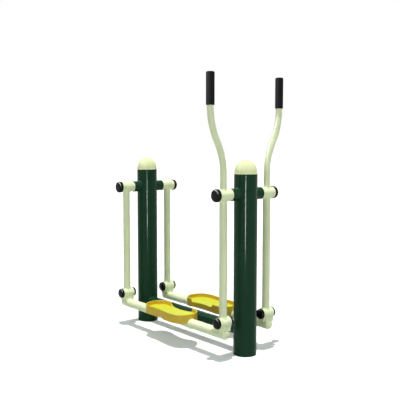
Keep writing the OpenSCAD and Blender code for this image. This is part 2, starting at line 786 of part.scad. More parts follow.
beam_tube(LEFT);  // left_beam_tube
beam_end_discs(LEFT);  // left_beam_end_discs
yoke(LEFT, FRONT);  // left_front_yoke
yoke(LEFT, REAR);  // left_rear_yoke
pedal(LEFT);  // left_pedal
pedal_brackets(LEFT);  // left_pedal_brackets
pedal_bolts(LEFT);  // left_pedal_bolts
pivot_bolts(LEFT);  // left_pivot_bolts
pivot_nuts(LEFT);  // left_pivot_nuts
pivot_caps(LEFT);  // left_pivot_caps
pivot_inner_rings(LEFT);  // left_pivot_inner_rings
pivot_spacers(LEFT);  // left_pivot_spacers
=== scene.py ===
# Outdoor air walker: two green posts, four hanging arms and two swinging pedal beams.
# The sections follow the object as it is put together, from the posts in the ground to the pedals.
import math

import bmesh
import bpy
from mathutils import Matrix, Vector


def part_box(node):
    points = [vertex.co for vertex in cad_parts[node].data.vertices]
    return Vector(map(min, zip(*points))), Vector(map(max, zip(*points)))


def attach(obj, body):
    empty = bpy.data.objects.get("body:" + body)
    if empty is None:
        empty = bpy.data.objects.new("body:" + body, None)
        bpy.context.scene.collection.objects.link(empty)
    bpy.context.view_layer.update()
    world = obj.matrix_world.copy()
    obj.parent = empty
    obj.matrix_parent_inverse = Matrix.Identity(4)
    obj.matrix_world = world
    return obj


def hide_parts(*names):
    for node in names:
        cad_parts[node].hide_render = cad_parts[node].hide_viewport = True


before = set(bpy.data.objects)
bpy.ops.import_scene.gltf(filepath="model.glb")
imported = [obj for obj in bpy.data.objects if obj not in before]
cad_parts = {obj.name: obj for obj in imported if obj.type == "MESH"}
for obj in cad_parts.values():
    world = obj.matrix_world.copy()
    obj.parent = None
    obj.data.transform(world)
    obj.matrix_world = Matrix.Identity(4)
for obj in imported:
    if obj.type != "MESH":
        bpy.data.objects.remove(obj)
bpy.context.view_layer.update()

# Camera
# The photograph was taken at chest height from the front right corner, a little above level.
# A 58.5 mm lens on a 36 mm square frame gives its field of view.
CAMERA_PLACE = Vector((2.6911, -2.1574, 1.0178))
CAMERA_AIM = Vector((-0.7697, 0.6331, -0.0826))
LENS_LENGTH = 58.54
FILM_SIDE = 36
lens = bpy.data.cameras.new("camera")
lens.lens = LENS_LENGTH
lens.sensor_width = FILM_SIDE
camera = bpy.data.objects.new("camera", lens)
camera.location = CAMERA_PLACE
camera.rotation_euler = CAMERA_AIM.to_track_quat("-Z", "Y").to_euler()
bpy.context.scene.collection.objects.link(camera)
bpy.context.scene.camera = camera
bpy.context.scene.view_settings.view_transform = "Standard"


# Studio
# A white painted floor runs on without an edge and throws light back up under a soft even sky.
# A high hard lamp draws the crisp shadow and a weak soft one lights the fronts. Two softboxes show
# in gloss alone: an upright one draws the line on each post, a leaning one the glints on the caps.
FLOOR_HALF = 60
FLOOR_DROP = 0.0005
FLOOR_SEEN = "#f4f7f5"
FLOOR_UNSEEN = "#bcbebc"
FLOOR_HAZE = "#e8f2f4"
FLOOR_GLOW = 0.19
SKY_WHITE = "#ffffff"
SKY_LEVEL = 0.33
SKY_SEEN = 1.0
HIGH_LAMP_TRAVEL = Vector((-0.040, 0.035, -1))
HIGH_LAMP_STRENGTH = 2.95
HIGH_LAMP_ANGLE = math.radians(0.4)
FRONT_LAMP_TRAVEL = Vector((-0.828, 0.369, -0.423))
FRONT_LAMP_STRENGTH = 0.42
FRONT_LAMP_ANGLE = math.radians(20)
BOX_AIM = Vector((0, 0, 0.6))
UPRIGHT_PLACE = Vector((2.78, -2.24, 0.38))
UPRIGHT_SIZE = (0.22, 0.66)
UPRIGHT_POWER = 84
LEANING_PLACE = Vector((-0.35, -1.50, 2.08))
LEANING_ALONG = Vector((-0.911, 0.361, 0.194))
LEANING_SIZE = (0.60, 3.3)
LEANING_POWER = 950


def linear(colour):
    """An sRGB hex colour as the linear colour and alpha that a shader takes."""
    parts = [int(colour[i:i + 2], 16) / 255 for i in (1, 3, 5)]
    return tuple(p / 12.92 if p <= 0.04045 else ((p + 0.055) / 1.055) ** 2.4 for p in parts) + (1,)


def node(tree, kind, inputs=None, **settings):
    """Adds a shader node with its settings, and with its inputs linked or set."""
    made = tree.nodes.new("ShaderNode" + kind)
    for name, value in settings.items():
        setattr(made, name, value)
    for name, value in (inputs or {}).items():
        if isinstance(value, bpy.types.NodeSocket):
            tree.links.new(value, made.inputs[name])
        else:
            made.inputs[name].default_value = value
    return made


def seen_straight(tree):
    """1 for the rays that carry the background: from the camera, or by way of gloss or glass."""
    rays = node(tree, "LightPath").outputs
    straight = node(tree, "Math", {0: rays["Is Camera Ray"], 1: rays["Is Glossy Ray"]},
                    operation="MAXIMUM").outputs[0]
    return node(tree, "Math", {0: straight, 1: rays["Is Transmission Ray"]},
                operation="MAXIMUM").outputs[0]


studio_paint = bpy.data.materials.new("floor_paint")
studio_paint.use_nodes = True
tree = studio_paint.node_tree
tree.nodes.clear()
seen = seen_straight(tree)
tint = node(tree, "Mix", {0: seen, 6: linear(FLOOR_UNSEEN), 7: linear(FLOOR_SEEN)},
            data_type="RGBA")
matt = node(tree, "BsdfDiffuse", {"Color": tint.outputs[2]})
lift = node(tree, "Math", {0: seen, 1: FLOOR_GLOW}, operation="MULTIPLY")
haze = node(tree, "Emission", {"Color": linear(FLOOR_HAZE), "Strength": lift.outputs[0]})
both = node(tree, "AddShader", {0: matt.outputs[0], 1: haze.outputs[0]})
node(tree, "OutputMaterial", {"Surface": both.outputs[0]})

bm = bmesh.new()
bmesh.ops.create_grid(bm, x_segments=1, y_segments=1, size=FLOOR_HALF)
bmesh.ops.translate(bm, vec=(0, 0, -FLOOR_DROP), verts=bm.verts)
mesh = bpy.data.meshes.new("studio_floor")
bm.to_mesh(mesh)
bm.free()
mesh.materials.append(studio_paint)
floor = bpy.data.objects.new("studio_floor", mesh)
bpy.context.scene.collection.objects.link(floor)

sky = bpy.data.worlds.new("studio_sky")
bpy.context.scene.world = sky
sky.use_nodes = True
tree = sky.node_tree
tree.nodes.clear()
level = node(tree, "Mix", {0: seen_straight(tree), 2: SKY_LEVEL, 3: SKY_SEEN})
glow = node(tree, "Background", {"Color": linear(SKY_WHITE), "Strength": level.outputs[0]})
node(tree, "OutputWorld", {"Surface": glow.outputs[0]})

for name, travel, strength, angle in (
        ("high_lamp", HIGH_LAMP_TRAVEL, HIGH_LAMP_STRENGTH, HIGH_LAMP_ANGLE),
        ("front_lamp", FRONT_LAMP_TRAVEL, FRONT_LAMP_STRENGTH, FRONT_LAMP_ANGLE)):
    lamp = bpy.data.lights.new(name, "SUN")
    lamp.energy = strength
    lamp.angle = angle
    holder = bpy.data.objects.new(name, lamp)
    holder.rotation_euler = travel.to_track_quat("-Z", "Y").to_euler()
    bpy.context.scene.collection.objects.link(holder)

for name, place, along, size, power in (
        ("upright_softbox", UPRIGHT_PLACE, Vector((0, 0, 1)), UPRIGHT_SIZE, UPRIGHT_POWER),
        ("leaning_softbox", LEANING_PLACE, LEANING_ALONG, LEANING_SIZE, LEANING_POWER)):
    lamp = bpy.data.lights.new(name, "AREA")
    lamp.shape = "RECTANGLE"
    lamp.size, lamp.size_y = size
    lamp.energy = power
    holder = bpy.data.objects.new(name, lamp)
    back = (place - BOX_AIM).normalized()
    across = along.cross(back).normalized()
    turn = Matrix((across, back.cross(across), back)).transposed()
    holder.matrix_world = Matrix.Translation(place) @ turn.to_4x4()
    holder.visible_camera = False
    holder.visible_diffuse = False
    bpy.context.scene.collection.objects.link(holder)


# Posts
# Two welded steel tubes, 114 mm across with a 3 mm wall, set in the ground.
# They are powder coated dark green, a gloss coat with the faint ripple of orange peel.
POST_WALL = 0.003
POST_ROUND = 0.0008
POST_STEPS = 128
POST_GREEN = "#183d28"
POST_ROUGHNESS = 0.14
POST_GLOSS = 0.06
PEEL_SIZE = 0.0022
PEEL_DEPTH = 0.00001
CLOUD_SIZE = 0.09
CLOUD_SHARE = 0.05
PATCH_SIZE = 0.03
PATCH_SHARE = 0.1
NOISE_DETAIL = 2
NOISE_LOW = 0.3
NOISE_HIGH = 0.7
TURN_STEPS = 96
ROUND_STEPS = 3
SHARP = math.radians(38)
MERGE = 1e-6
ENDS = {"front": 1, "rear": -1}

post_low, post_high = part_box("front_post")
post_r = (post_high.x - post_low.x) / 2
post_x = post_low.x + post_r
post_top = post_high.z


def placed(place, up=(0, 0, 1), across=(1, 0, 0)):
    """The move that stands a shape's Z along up and its X along across, at a place."""
    z, x = Vector(up), Vector(across)
    return Matrix.Translation(place) @ Matrix((x, z.cross(x), z)).transposed().to_4x4()


def edges_of(verts):
    """The edges that meet any of the verts."""
    return list(dict.fromkeys(e for v in verts for e in v.link_edges))


def faces_of(verts):
    """The faces that meet any of the verts."""
    return list(dict.fromkeys(f for v in verts for f in v.link_faces))


def turned(bm, corners, move, steps=TURN_STEPS):
    """Spins an outline of (radius, height, rounding) corners about Z, and then moves it."""
    old = set(bm.verts)
    points = [bm.verts.new((radius, 0, height)) for radius, height, _ in corners]
    bm.faces.new(points)
    for rounding in sorted({c[2] for c in corners if c[2]}):
        bmesh.ops.bevel(bm, geom=[p for p, c in zip(points, corners) if c[2] == rounding],
                        affect="VERTICES", offset=rounding, segments=ROUND_STEPS, profile=0.5,
                        material=-1)
    outline = [v for v in bm.verts if v not in old]
    edges = edges_of(outline)
    bmesh.ops.delete(bm, geom=faces_of(outline), context="FACES_ONLY")
    on_axis = [e for e in edges if all(v.co.x < MERGE for v in e.verts)]
    bmesh.ops.delete(bm, geom=on_axis, context="EDGES_FACES")
    edges = [e for e in edges if e.is_valid]
    outline = [v for v in outline if v.is_valid]
    bmesh.ops.spin(bm, geom=outline + edges, cent=(0, 0, 0), axis=(0, 0, 1), dvec=(0, 0, 0),
                   angle=2 * math.pi, steps=steps, use_merge=True)
    bmesh.ops.remove_doubles(bm, verts=[v for v in bm.verts if v not in old], dist=MERGE)
    new = [v for v in bm.verts if v not in old]
    bmesh.ops.recalc_face_normals(bm, faces=faces_of(new))
    bmesh.ops.transform(bm, matrix=move, verts=new)
    return new


def piece(name, bm, finish, body, slot, *nodes):
    """Makes a bmesh a piece of the walker: its finish, its body and the nodes it stands for.

    Its small roundings keep their shading to themselves, so that long and flat faces gleam true.
    """
    for face in bm.faces:
        face.smooth = True
    mesh = bpy.data.meshes.new(name)
    bm.to_mesh(mesh)
    bm.free()
    mesh.set_sharp_from_angle(angle=SHARP)
    mesh.materials.append(finish)
    made = bpy.data.objects.new(name, mesh)
    bpy.context.scene.collection.objects.link(made)
    level = made.modifiers.new("level_faces", "WEIGHTED_NORMAL")
    level.keep_sharp = True
    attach(made, body)
    if nodes:
        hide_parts(*nodes)
    return made


def shader(name, colour, **inputs):
    """A material with one plastic, paint or metal surface, and its tree, to be worked on."""
    made = bpy.data.materials.new(name)
    made.use_nodes = True
    tree = made.node_tree
    tree.nodes.clear()
    surface = node(tree, "BsdfPrincipled", {"Base Color": linear(colour)})
    for socket, value in inputs.items():
        surface.inputs[socket.replace("_", " ")].default_value = value
    node(tree, "OutputMaterial", {"Surface": surface.outputs[0]})
    return made, tree, surface


def grain(tree, size):
    """Noise of one size in metres, the same on every piece that shares the coat."""
    coords = node(tree, "TexCoord").outputs["Object"]
    return node(tree, "TexNoise", {"Vector": coords, "Scale": 1 / size,
                                   "Detail": NOISE_DETAIL}).outputs[0]


def spread(tree, value, low, high):
    """Noise brought from its middle range to a range of its own."""
    return node(tree, "MapRange", {"Value": value, "From Min": NOISE_LOW, "From Max": NOISE_HIGH,
                                   "To Min": low, "To Max": high}).outputs[0]


def clouded(tree, surface, colour, size, share):
    """Lets a linear or linked colour drift a little lighter and darker over a coat."""
    value = spread(tree, grain(tree, size), 1 - share, 1 + share)
    drift = node(tree, "HueSaturation", {"Color": colour, "Value": value})
    tree.links.new(drift.outputs[0], surface.inputs["Base Color"])


def rippled(tree, surface, size, depth):
    """Gives a coat a relief of one size and depth, both in metres."""
    bump = node(tree, "Bump", {"Height": grain(tree, size), "Distance": depth, "Strength": 1.0})
    tree.links.new(bump.outputs[0], surface.inputs["Normal"])


def powder_coat(name, colour, roughness, gloss):
    """Baked powder coat: even colour, a soft gloss and orange peel, drawn coarse enough to show."""
    made, tree, surface = shader(name, colour, Specular_IOR_Level=gloss)
    clouded(tree, surface, linear(colour), CLOUD_SIZE, CLOUD_SHARE)
    patches = spread(tree, grain(tree, PATCH_SIZE), roughness * (1 - PATCH_SHARE),
                     roughness * (1 + PATCH_SHARE))
    tree.links.new(patches, surface.inputs["Roughness"])
    rippled(tree, surface, PEEL_SIZE, PEEL_DEPTH)
    return made


# Dark green gloss powder coat: deep and even, with a clean line where a lamp meets it.
green_coat = powder_coat("green_powder_coat", POST_GREEN, POST_ROUGHNESS, POST_GLOSS)
for end, way in ENDS.items():
    bm = bmesh.new()
    turned(bm, [(post_r - POST_WALL, 0, 0), (post_r, 0, POST_ROUND), (post_r, post_top, POST_ROUND),
                (post_r - POST_WALL, post_top, 0)], placed((way * post_x, 0, 0)), steps=POST_STEPS)
    piece(f"{end}_post_tube", bm, green_coat, "frame", "post_paint", f"{end}_post")


# Base beam
# A 60 mm tube between the posts, its ends cut to their round and welded, under the same coat.
# Each weld is a ring of small overlapping scallops, about 6 mm wide.
BEAM_WALL = 0.003
BEAD_R = 0.0028
BEAD_SIDES = 8
BEAD_STEPS = 120
BEAD_SCALLOP = 0.12
BEAM_SCALLOPS = 30
beam_low, beam_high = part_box("base_beam")
base_beam_r = (beam_high.z - beam_low.z) / 2
base_beam_z = beam_low.z + base_beam_r


def weld_ring(bm, tube_r, on_r, move, scallops=BEAM_SCALLOPS):
    """A bead round a tube, where it stands square on a cylinder whose axis is the bead's Y."""
    old = set(bm.verts)
    circle = bmesh.ops.create_circle(bm, radius=BEAD_R, segments=BEAD_SIDES)["verts"]
    bmesh.ops.transform(bm, matrix=placed((tube_r, 0, 0), up=(0, -1, 0)), verts=circle)
    bmesh.ops.spin(bm, geom=circle + edges_of(circle), cent=(0, 0, 0), axis=(0, 0, 1),
                   dvec=(0, 0, 0), angle=2 * math.pi, steps=BEAD_STEPS, use_merge=True)
    new = [v for v in bm.verts if v not in old]
    for v in new:
        turn = math.atan2(v.co.y, v.co.x)
        core = Vector((tube_r * math.cos(turn), tube_r * math.sin(turn), 0))
        v.co = core + (v.co - core) * (1 + BEAD_SCALLOP * math.cos(scallops * turn))
        v.co.z += math.sqrt(on_r ** 2 - core.x ** 2)
    bmesh.ops.recalc_face_normals(bm, faces=faces_of(new))
    bmesh.ops.transform(bm, matrix=move, verts=new)


bm = bmesh.new()
tube = turned(bm, [(base_beam_r - BEAM_WALL, -post_x, 0), (base_beam_r, -post_x, 0),
                   (base_beam_r, post_x, 0), (base_beam_r - BEAM_WALL, post_x, 0)],
              placed((0, 0, base_beam_z), up=(1, 0, 0), across=(0, 1, 0)))
for v in tube:
    reach = post_x - math.sqrt(post_r ** 2 - v.co.y ** 2)
    v.co.x = math.copysign(reach, v.co.x)
for way in ENDS.values():
    weld_ring(bm, base_beam_r, post_r,
              placed((way * post_x, 0, base_beam_z), up=(-way, 0, 0), across=(0, 1, 0)))
piece("base_beam_tube", bm, green_coat, "frame", "post_paint", "base_beam")


# Post caps
# Moulded polyethylene domes that plug into the posts: a short straight skirt, a fine groove
# where the mould parts, and a tall oval crown, pale cream and half glossy.
CAP_WALL = 0.003
CAP_SKIRT = 0.007
GROOVE = 0.0018
CROWN_STEP = 0.0012
CAP_PLUG_GAP = 0.0002
CROWN_STEPS = 28
CAP_EDGE_ROUND = 0.0006
GROOVE_ROUND = 0.0004
DOME_CREAM = "#e9f1be"
DOME_ROUGHNESS = 0.55
DOME_GLOSS = 0.03
DOME_CLOUD = 0.05
DOME_CLOUD_SHARE = 0.03
DOME_GRAIN = 0.0012
DOME_GRAIN_DEPTH = 0.00001
cap_low, cap_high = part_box("front_post_cap")
plug_r = post_r - POST_WALL - CAP_PLUG_GAP
skirt_top = post_top + CAP_SKIRT
rise = cap_high.z - skirt_top


def quarter(radius, rise, base, steps, down=False):
    """The corners of a quarter oval, from its edge up to its crown or from the crown down."""
    turns = [math.pi / 2 * i / steps for i in range(steps + 1)]
    points = [(radius * math.cos(t), base + rise * math.sin(t), 0) for t in turns]
    return points[::-1] if down else points


# Moulded polyethylene: a soft even light, and the mould's grain, drawn coarse enough to show.
dome_plastic, tree, surface = shader("moulded_polyethylene", DOME_CREAM, Roughness=DOME_ROUGHNESS,
                                     Specular_IOR_Level=DOME_GLOSS)
clouded(tree, surface, linear(DOME_CREAM), DOME_CLOUD, DOME_CLOUD_SHARE)
rippled(tree, surface, DOME_GRAIN, DOME_GRAIN_DEPTH)
for end, way in ENDS.items():
    bm = bmesh.new()
    turned(bm, [(plug_r - CAP_WALL, cap_low.z, 0), (plug_r, cap_low.z, 0), (plug_r, post_top, 0),
                (post_r, post_top, CAP_EDGE_ROUND),
                (post_r, skirt_top - 2 * GROOVE, GROOVE_ROUND),
                (post_r - GROOVE, skirt_top - GROOVE, 0)]
           + quarter(post_r - CROWN_STEP, rise, skirt_top, CROWN_STEPS)
           + quarter(plug_r - CAP_WALL, rise - CAP_WALL, skirt_top, CROWN_STEPS, down=True),
           placed((way * post_x, 0, 0)), steps=POST_STEPS)
    piece(f"{end}_post_cap_dome", bm, dome_plastic, "frame", "dome_plastic", f"{end}_post_cap")


# Crossbars
# A 60 mm tube runs through each post near its top and is welded to it on both sides.
# A bored plate closes each end and carries the axle, with a short boss to space the hub.
CROSSBAR_WALL = 0.004
END_PLATE = 0.008
CROSSBAR_ROUND = 0.0012
BOSS_R = 0.0144
AXLE_R = 0.010
HUB_GAP = 0.0015
bar_low, bar_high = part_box("front_crossbar")
crossbar_r = (bar_high.z - bar_low.z) / 2
axle_z = bar_low.z + crossbar_r
hub_in = bar_high.y
plate_y = hub_in - HUB_GAP
inner = plate_y - END_PLATE
bore = crossbar_r - CROSSBAR_WALL
for end, way in ENDS.items():
    bm = bmesh.new()
    turned(bm, [(AXLE_R, -hub_in, 0), (BOSS_R, -hub_in, 0), (BOSS_R, -plate_y, 0),
                (crossbar_r, -plate_y, CROSSBAR_ROUND), (crossbar_r, plate_y, CROSSBAR_ROUND),
                (BOSS_R, plate_y, 0), (BOSS_R, hub_in, 0), (AXLE_R, hub_in, 0),
                (AXLE_R, inner, 0), (bore, inner, 0), (bore, -inner, 0), (AXLE_R, -inner, 0)],
           placed((way * post_x, 0, axle_z), up=(0, 1, 0)))
    for hand in (1, -1):
        weld_ring(bm, crossbar_r, post_r, placed((way * post_x, 0, axle_z), up=(0, hand, 0)))
    piece(f"{end}_crossbar_tube", bm, green_coat, "frame", "post_paint", f"{end}_crossbar")


# Axles and their bearings' inner parts
# Plain bright bar, ground rings and turned nuts, zinc plated, almost all of it out of sight.
# They keep the shapes of the frame and take a plated steel finish.
ZINC_GREY = "#c3c6c8"
ZINC_SMOOTHEST = 0.28
ZINC_ROUGHEST = 0.42
ZINC_SPOT = 0.004

# Zinc plate: a pale grey metal, its shine broken by the duller spots that the bath leaves.
zinc, tree, surface = shader("zinc_plated_steel", ZINC_GREY, Metallic=1.0)
spots = spread(tree, grain(tree, ZINC_SPOT), ZINC_SMOOTHEST, ZINC_ROUGHEST)
tree.links.new(spots, surface.inputs["Roughness"])


def finish_nodes(finish, *names):
    """Gives nodes that keep their own shape a finish."""
    for name in names:
        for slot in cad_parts[name].material_slots:
            slot.material = finish


finish_nodes(zinc, "front_axle", "rear_axle", "axle_inner_rings", "axle_spacers", "axle_nuts")


# Hanging arms
# Each arm is a 38 mm tube coped and welded between two bored hubs, which hold sealed bearings.
# Arms, handles, yokes and pedal beams share one cream powder coat.
ARM_CREAM = "#e9f4ca"
ARM_ROUGHNESS = 0.30
ARM_GLOSS = 0.05
ARM_WALL = 0.0025
ARM_SCALLOPS = 20
HUB_ROUND = 0.0012
SEAT_R = 0.0235
SHOULDER_R = 0.0205
SIDES = {"right": -1, "left": 1}
hub_low, hub_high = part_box("right_front_lower_hub")
hub_r = (hub_high.z - hub_low.z) / 2
pivot_z = (hub_low.z + hub_high.z) / 2
arm_middle = (pivot_z + axle_z) / 2
bearing_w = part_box("left_pivot_spacers")[0].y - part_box("left_front_lower_hub")[0].y
outer_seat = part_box("axle_spacers")[1].y

# Cream powder coat of a lower gloss: soft lights along the tubes, and no clear reflections.
cream_coat = powder_coat("cream_powder_coat", ARM_CREAM, ARM_ROUGHNESS, ARM_GLOSS)


def arm_body(side, end):
    """The body that carries an arm."""
    return f"{side}_{end}_arm"


def hub(bm, y0, y1, seat0, seat1, centre):
    """A sleeve along Y with a bearing seat at each end of its shoulder."""
    turned(bm, [(SEAT_R, y0, 0), (hub_r, y0, HUB_ROUND), (hub_r, y1, HUB_ROUND), (SEAT_R, y1, 0),
                (SEAT_R, seat1, 0), (SHOULDER_R, seat1, 0), (SHOULDER_R, seat0, 0),
                (SEAT_R, seat0, 0)], placed(centre, up=(0, 1, 0)))


for side, hand in SIDES.items():
    for end, way in ENDS.items():
        body = arm_body(side, end)
        name = f"{side}_{end}"
        x = way * post_x
        low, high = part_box(f"{name}_arm_tube")
        arm_r = (high.y - low.y) / 2
        arm_y = low.y + arm_r

        low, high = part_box(f"{name}_upper_hub")
        bm = bmesh.new()
        near = low.y if hand > 0 else high.y
        seats = sorted((near + hand * bearing_w, hand * outer_seat))
        hub(bm, low.y, high.y, *seats, (x, 0, axle_z))
        piece(f"{name}_upper_hub_sleeve", bm, cream_coat, body, "arm_paint", f"{name}_upper_hub")

        low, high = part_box(f"{name}_lower_hub")
        bm = bmesh.new()
        hub(bm, low.y, high.y, low.y + bearing_w, high.y - bearing_w, (x, 0, pivot_z))
        piece(f"{name}_lower_hub_sleeve", bm, cream_coat, body, "arm_paint", f"{name}_lower_hub")

        bm = bmesh.new()
        tube = turned(bm, [(arm_r - ARM_WALL, pivot_z, 0), (arm_r, pivot_z, 0), (arm_r, axle_z, 0),
                           (arm_r - ARM_WALL, axle_z, 0)], placed((x, arm_y, 0)))
        for v in tube:
            drop = math.sqrt(hub_r ** 2 - (v.co.x - x) ** 2)
            v.co.z = pivot_z + drop if v.co.z < arm_middle else axle_z - drop
        weld_ring(bm, arm_r, hub_r, placed((x, arm_y, axle_z), up=(0, 0, -1)), ARM_SCALLOPS)
        weld_ring(bm, arm_r, hub_r, placed((x, arm_y, pivot_z)), ARM_SCALLOPS)
        piece(f"{name}_arm", bm, cream_coat, body, "arm_paint", f"{name}_arm_tube")
        finish_nodes(zinc, f"{name}_bearings")


# Hub caps
# Domed black caps, injection moulded in glossy ABS, with a straight rim and a ring that plugs
# into the hub's outer bore.
CAP_SHOULDER = 0.0095
CAP_CROWN = 0.0015
CAP_RIM_ROUND = 0.0005
SHOULDER_STEPS = 12
CROWN_RINGS = 8
HUB_CAP_WALL = 0.0015
HUB_PLUG = 0.008
CAP_BLACK = "#050506"
CAP_GLOSS = 0.08
CAP_SMOOTHEST = 0.18
CAP_ROUGHEST = 0.26
SMEAR_SIZE = 0.012

# Glossy moulded ABS: nearly black, with small glints that smears of handling dull a little.
black_abs, tree, surface = shader("glossy_black_abs", CAP_BLACK, Specular_IOR_Level=CAP_GLOSS)
smears = spread(tree, grain(tree, SMEAR_SIZE), CAP_SMOOTHEST, CAP_ROUGHEST)
tree.links.new(smears, surface.inputs["Roughness"])


def cap_shell(radius, height):
    """The corners of a cap's outside: a straight rim, a round shoulder and a low crown."""
    flat = radius - CAP_SHOULDER
    base = height - CAP_CROWN - CAP_SHOULDER
    shoulder = [(flat + r, z, 0) for r, z, _ in
                quarter(CAP_SHOULDER, CAP_SHOULDER, base, SHOULDER_STEPS)]
    crown = [(flat * (1 - i / CROWN_RINGS), height - CAP_CROWN * (1 - i / CROWN_RINGS) ** 2, 0)
             for i in range(1, CROWN_RINGS + 1)]
    return shoulder + crown


def black_cap(bm, radius, height, move, plug=None):
    """A domed cap with a hollow crown. A plug gives the ring that holds it in a bore."""
    shell = [(radius, 0, CAP_RIM_ROUND)] + cap_shell(radius, height)
    hollow = radius - 2 * HUB_CAP_WALL
    inside = cap_shell(hollow, height - HUB_CAP_WALL)[::-1]
    if plug:
        foot = [(plug - 2 * HUB_CAP_WALL, -HUB_PLUG, 0), (plug, -HUB_PLUG, 0), (plug, 0, 0)]
        inside += [(hollow, HUB_CAP_WALL, 0), (plug - 2 * HUB_CAP_WALL, HUB_CAP_WALL, 0)]
    else:
        foot = [(hollow, 0, 0)]
    turned(bm, foot + shell + inside, move)


for side, hand in SIDES.items():
    for end, way in ENDS.items():
        name = f"{side}_{end}"
        low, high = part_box(f"{name}_hub_cap")
        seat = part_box(f"{name}_upper_hub")[1 if hand > 0 else 0].y
        reach = abs((high.y if hand > 0 else low.y) - seat)
        bm = bmesh.new()
        black_cap(bm, (high.z - low.z) / 2, reach,
                  placed((way * post_x, seat, axle_z), up=(0, hand, 0)), plug=SEAT_R - CAP_PLUG_GAP)
        piece(f"{name}_hub_cap_dome", bm, black_abs, arm_body(side, end), "cap_plastic",
              f"{name}_hub_cap")


# Handles and grips
# A 32 mm tube stands on each front arm's upper hub and bends outwards and back upright in two
# long bends. A closed black rubber sleeve is pushed over its top.
HANDLE_BEND_R = 0.325
HANDLE_SIDES = 64
HANDLE_SCALLOPS = 18
BEND_STEPS = 32
GRIP_GAP = 0.004
GRIP_ROUND = 0.0035
GRIP_TOP_ROUND = 0.006
GRIP_TOP = 0.005
GRIP_BLACK = "#232324"
GRIP_ROUGHNESS = 0.55
GRIP_GLOSS = 0.01
GRIP_CLOUD = 0.03
GRIP_CLOUD_SHARE = 0.08
GRIP_GRAIN = 0.0009
GRIP_GRAIN_DEPTH = 0.00003

# Moulded rubber: dull and nearly black, with a fine grain, drawn coarse enough to show.
grip_rubber, tree, surface = shader("moulded_rubber", GRIP_BLACK, Roughness=GRIP_ROUGHNESS,
                                    Specular_IOR_Level=GRIP_GLOSS)
clouded(tree, surface, linear(GRIP_BLACK), GRIP_CLOUD, GRIP_CLOUD_SHARE)
rippled(tree, surface, GRIP_GRAIN, GRIP_GRAIN_DEPTH)


def of_kind(kind, found):
    """The verts or the edges among all that an operator gives back."""
    return [g for g in found if isinstance(g, kind)]


for side, hand in SIDES.items():
    low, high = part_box(f"{side}_grip")
    grip_r = (high.x - low.x) / 2
    grip_y = low.y + grip_r
    foot_low, foot_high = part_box(f"{side}_handle")
    handle_r = (foot_high.x - foot_low.x) / 2
    arm_low, arm_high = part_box(f"{side}_front_arm_tube")
    arm_y = (arm_low.y + arm_high.y) / 2
    bend = math.acos(1 - abs(grip_y - arm_y) / (2 * HANDLE_BEND_R))
    bend_top = low.z - GRIP_GAP
    bend_foot = bend_top - 2 * HANDLE_BEND_R * math.sin(bend)

    bm = bmesh.new()
    foot = bmesh.ops.create_circle(bm, radius=handle_r, segments=HANDLE_SIDES)["verts"]
    bmesh.ops.translate(bm, vec=(post_x, arm_y, axle_z), verts=foot)
    grown = bmesh.ops.extrude_edge_only(bm, edges=edges_of(foot))["geom"]
    lifted = of_kind(bmesh.types.BMVert, grown)
    bmesh.ops.translate(bm, vec=(0, 0, bend_foot - axle_z), verts=lifted)
    for v in foot:
        v.co.z += math.sqrt(hub_r ** 2 - (v.co.x - post_x) ** 2)
    last = lifted + of_kind(bmesh.types.BMEdge, grown)
    for turn, centre in ((-hand, Vector((post_x, arm_y + hand * HANDLE_BEND_R, bend_foot))),
                         (hand, Vector((post_x, grip_y - hand * HANDLE_BEND_R, bend_top)))):
        last = bmesh.ops.spin(bm, geom=last, cent=centre, axis=(1, 0, 0), dvec=(0, 0, 0),
                              angle=turn * bend, steps=BEND_STEPS)["geom_last"]
    top = bmesh.ops.extrude_edge_only(bm, edges=of_kind(bmesh.types.BMEdge, last))["geom"]
    for v in of_kind(bmesh.types.BMVert, top):
        v.co.z = high.z - GRIP_TOP
    bmesh.ops.remove_doubles(bm, verts=bm.verts, dist=MERGE)
    bmesh.ops.recalc_face_normals(bm, faces=bm.faces)
    handle = piece(f"{side}_handle_tube", bm, cream_coat, arm_body(side, "front"), "arm_paint",
                   f"{side}_handle")
    wall = handle.modifiers.new("wall", "SOLIDIFY")
    wall.thickness = ARM_WALL
    wall.offset = -1
    # The wall is made first, so that the shading of both its sides is levelled.
    handle.modifiers.move(1, 0)

    bm = bmesh.new()
    weld_ring(bm, handle_r, hub_r, placed((post_x, arm_y, axle_z)), HANDLE_SCALLOPS)
    piece(f"{side}_handle_weld", bm, cream_coat, arm_body(side, "front"), "arm_paint")

    bm = bmesh.new()
    turned(bm, [(0, high.z, 0), (grip_r, high.z, GRIP_TOP_ROUND), (grip_r, low.z, GRIP_ROUND),
                (handle_r, low.z, 0), (handle_r, high.z - GRIP_TOP, 0), (0, high.z - GRIP_TOP, 0)],
           placed((post_x, grip_y, 0)))
    piece(f"{side}_grip_sleeve", bm, grip_rubber, arm_body(side, "front"), "grip_rubber",
          f"{side}_grip")


